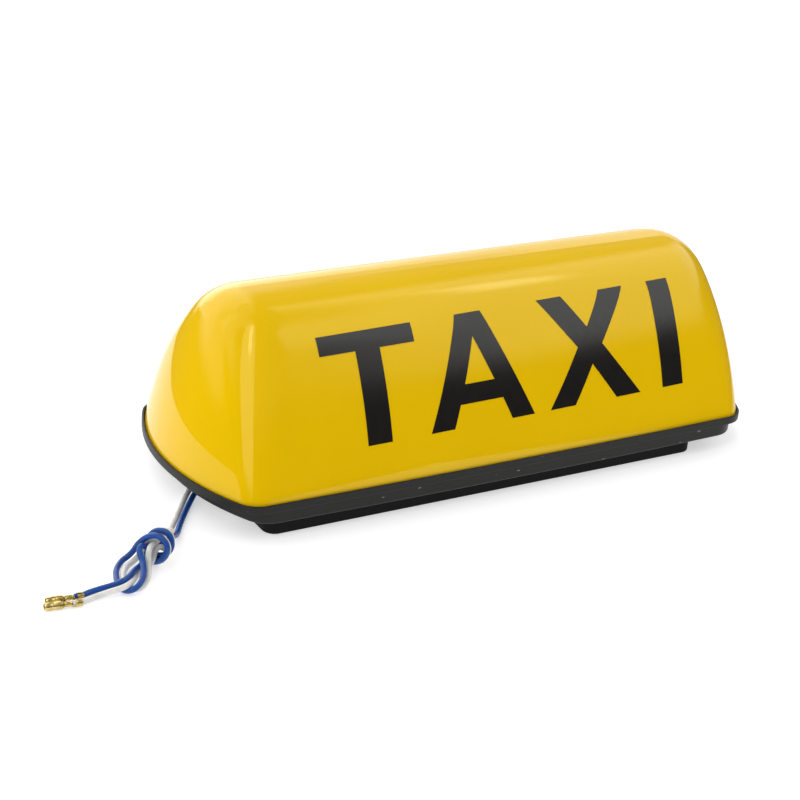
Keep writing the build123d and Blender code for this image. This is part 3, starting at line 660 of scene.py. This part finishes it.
def painted():
    """White painted sheet with a faint texture and a few specks."""
    f = Finish("white_paint", IOR=1.5)
    f.round_edges(0.0003)
    speck = f.ramp(f.noise(1500.0, 2.0), 0.72, 0.78, 0.0, 0.4)
    f.colour(f.mix(speck, (0.80, 0.80, 0.78), (0.5, 0.49, 0.46)))
    f.roughness(f.ramp(f.noise(200.0, 4.0), 0.3, 0.7, 0.32, 0.45))
    f.bump(f.noise(500.0, 3.0), 0.00003, 0.5)
    return f.material


def crumbly(name, dark, light, rough, grain, depth):
    """Open or sintered material: foam, ferrite."""
    f = Finish(name, IOR=1.45)
    cells = f.add("ShaderNodeTexVoronoi", Vector=f.place, Scale=grain).outputs["Distance"]
    f.colour(f.mix(f.ramp(cells, 0.0, 0.7, 0.0, 1.0), dark, light))
    f.roughness(f.ramp(f.noise(grain / 3), 0.3, 0.7, rough - 0.1, rough))
    f.bump(cells, depth)
    return f.material


finishes = {
    "yellow_cover": yellow_plastic(),
    "black_film": black_film(),
    "foam_seal": crumbly("foam_seal", (0.012, 0.012, 0.012), (0.03, 0.03, 0.03), 0.95, 1800.0, 0.0002),
    "black_tray": moulded(
        "black_tray", (0.006, 0.006, 0.0055), (0.0095, 0.0095, 0.009), 0.42, 1600.0, 0.00003,
        ior=1.36, flecks=0.5,
    ),
    "plinth_rubber": moulded(
        "plinth_rubber", (0.002, 0.002, 0.0022), (0.004, 0.0038, 0.0042), 0.6, 1100.0, 0.00005,
        wear=(0.05, 0.05, 0.05), wear_share=0.2, ior=1.25,
    ),
    "plated_steel": metal("plated_steel", (0.50, 0.50, 0.48), (0.72, 0.72, 0.70), 0.24),
    "ferrite": crumbly("ferrite", (0.03, 0.03, 0.033), (0.06, 0.06, 0.065), 0.62, 2600.0, 0.00004),
    "white_paint": painted(),
    "black_holder": moulded(
        "black_holder", (0.010, 0.010, 0.011), (0.018, 0.018, 0.019), 0.4, 2200.0, 0.00002
    ),
    "contact_brass": metal("contact_brass", (0.42, 0.30, 0.09), (0.78, 0.62, 0.24), 0.2, (0.2, 1.0, 1.0)),
    "lamp_glass": clear_glass(),
    "filament_wire": metal("filament_wire", (0.25, 0.25, 0.26), (0.45, 0.45, 0.46), 0.35),
    "grommet_rubber": moulded(
        "grommet_rubber", (0.008, 0.008, 0.008), (0.014, 0.014, 0.014), 0.7, 1500.0, 0.00004
    ),
    "blue_wire": wire_plastic("blue_wire", (0.001, 0.046, 0.23), (0.003, 0.066, 0.32)),
    "white_wire": wire_plastic("white_wire", (0.66, 0.645, 0.61), (0.78, 0.765, 0.73), 0.34),
    "bare_copper": metal("bare_copper", (0.50, 0.24, 0.12), (0.80, 0.42, 0.24), 0.22, (0.3, 1.0, 1.0)),
}


def dress(obj, *names):
    """Gives an object these finishes, in the order of its faces' material numbers."""
    obj.data.materials.clear()
    for name in names:
        obj.data.materials.append(finishes[name])


for piece in (blue_wire, white_wire, cover, *legends):
    dress(piece, piece["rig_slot"])
for piece in (blue_socket, white_socket):
    dress(piece, "contact_brass", "bare_copper")
for node in nodes.values():
    for place in node.material_slots:
        place.material = finishes[place.material.name]


# Floor: a pale sheet round the object, square to the camera, in a wide floor of the same stuff
SHEET_SIDES, SHEET_ENDS = (-0.34, 0.29), (-0.9, 0.24)
FLOOR_HALF = 6.0


def make_floor():
    """The sheet shows in the object's gloss, and the floor beyond it doesn't."""
    f = Finish("floor", IOR=1.3, Emission_Color=(1, 1, 1, 1), Emission_Strength=0.52)
    f.colour(f.mix(f.noise(3.0), (0.63, 0.63, 0.63), (0.65, 0.65, 0.65)))
    f.roughness(f.ramp(f.noise(20.0), 0.3, 0.7, 0.7, 0.8))
    columns, rows = (-FLOOR_HALF, *SHEET_SIDES, FLOOR_HALF), (-FLOOR_HALF, *SHEET_ENDS, FLOOR_HALF)
    turn = Quaternion((0, 0, 1), AZIMUTH)
    for name, inside in (("floor_sheet", True), ("floor_beyond", False)):
        mesh = bmesh.new()
        for i in range(3):
            for j in range(3):
                if ((i, j) == (1, 1)) == inside:
                    corners = ((i, j), (i + 1, j), (i + 1, j + 1), (i, j + 1))
                    places = [turn @ Vector((columns[a], -rows[b], 0)) for a, b in corners]
                    mesh.faces.new([mesh.verts.new(place) for place in places])
        bmesh.ops.reverse_faces(mesh, faces=mesh.faces)
        data = bpy.data.meshes.new(name)
        mesh.to_mesh(data)
        mesh.free()
        data.materials.append(f.material)
        floor = link(bpy.data.objects.new(name, data))
        floor.visible_glossy = inside


# Light: each panel has its radiance, azimuth, width, lowest and highest elevation and the blur of its
# sides and of its top and bottom, in degrees
FILL = 0.10
PANELS = [
    (0.25, 0, 400, 20, 95, 6, 10),
    (1.0, 160, 70, -6, 20.5, 4, 1.5),
    (0.85, -160, 96, -1, 64, 6, 2.5),
    (0.6, -172, 66, -1, 64, 10, 2.5),
    (1.0, -106, 34, 17, 62, 9, 9),
    (0.7, -134, 148, 62, 83, 8, 4),
    (1.95, -57, 32, 3, 76, 1.5, 4),
    (4.2, -54, 9, 42, 74, 1.5, 7),
    (1.3, 78, 92, 20, 62, 7, 4),
    (2.8, 97, 18, 55.5, 58.5, 6, 1),
]


class Studio:
    """A world of soft-edged panels of light; azimuth 0 is towards -Y."""

    def __init__(self, name):
        self.world = bpy.data.worlds.new(name)
        self.world.use_nodes = True
        self.tree = self.world.node_tree
        way = self.node("ShaderNodeSeparateXYZ", self.node("ShaderNodeTexCoord").outputs["Generated"]).outputs
        self.azimuth = self.maths("ARCTAN2", way["X"], self.maths("MULTIPLY", way["Y"], -1.0))
        self.elevation = self.maths("ARCSINE", way["Z"])
        self.total = None

    def node(self, kind, *values):
        node = self.tree.nodes.new(kind)
        for target, value in zip(node.inputs, values):
            if isinstance(value, bpy.types.NodeSocket):
                self.tree.links.new(value, target)
            else:
                target.default_value = value
        return node

    def maths(self, operation, *values):
        node = self.node("ShaderNodeMath", *values)
        node.operation = operation
        return node.outputs["Value"]

    def step(self, value, start, stop):
        """0 at start and 1 at stop, with a smooth run between, in degrees."""
        node = self.node("ShaderNodeMapRange", value, math.radians(start), math.radians(stop))
        node.interpolation_type = "SMOOTHSTEP"
        return node.outputs["Result"]

    def add(self, radiance):
        self.total = self.maths("ADD", self.total, radiance) if self.total else radiance

    def panel(self, radiance, azimuth, width, low, high, side_blur, blur):
        turned = self.maths("SUBTRACT", self.azimuth, math.radians(azimuth))
        away = self.maths("ABSOLUTE", self.maths("WRAP", turned, math.pi, -math.pi))
        across = self.step(away, width / 2 + side_blur, width / 2 - side_blur)
        foot = self.step(self.elevation, low - blur, low + blur)
        top = self.step(self.elevation, high + blur, high - blur)
        upright = self.maths("MULTIPLY", foot, top)
        self.add(self.maths("MULTIPLY", self.maths("MULTIPLY", across, radiance), upright))

    def finish(self):
        """Lights the scene, and shows plain white to the camera beyond the floor."""
        seen = self.node("ShaderNodeLightPath").outputs["Is Camera Ray"]
        kept = self.maths("MULTIPLY", self.total, self.maths("SUBTRACT", 1.0, seen))
        background = self.tree.nodes["Background"]
        background.inputs["Color"].default_value = (1, 1, 1, 1)
        self.tree.links.new(self.maths("ADD", kept, seen), background.inputs["Strength"])
        bpy.context.scene.world = self.world


make_floor()
studio = Studio("studio")
studio.add(FILL)
for panel in PANELS:
    studio.panel(*panel)
studio.finish()
bpy.context.scene.view_settings.view_transform = "Standard"
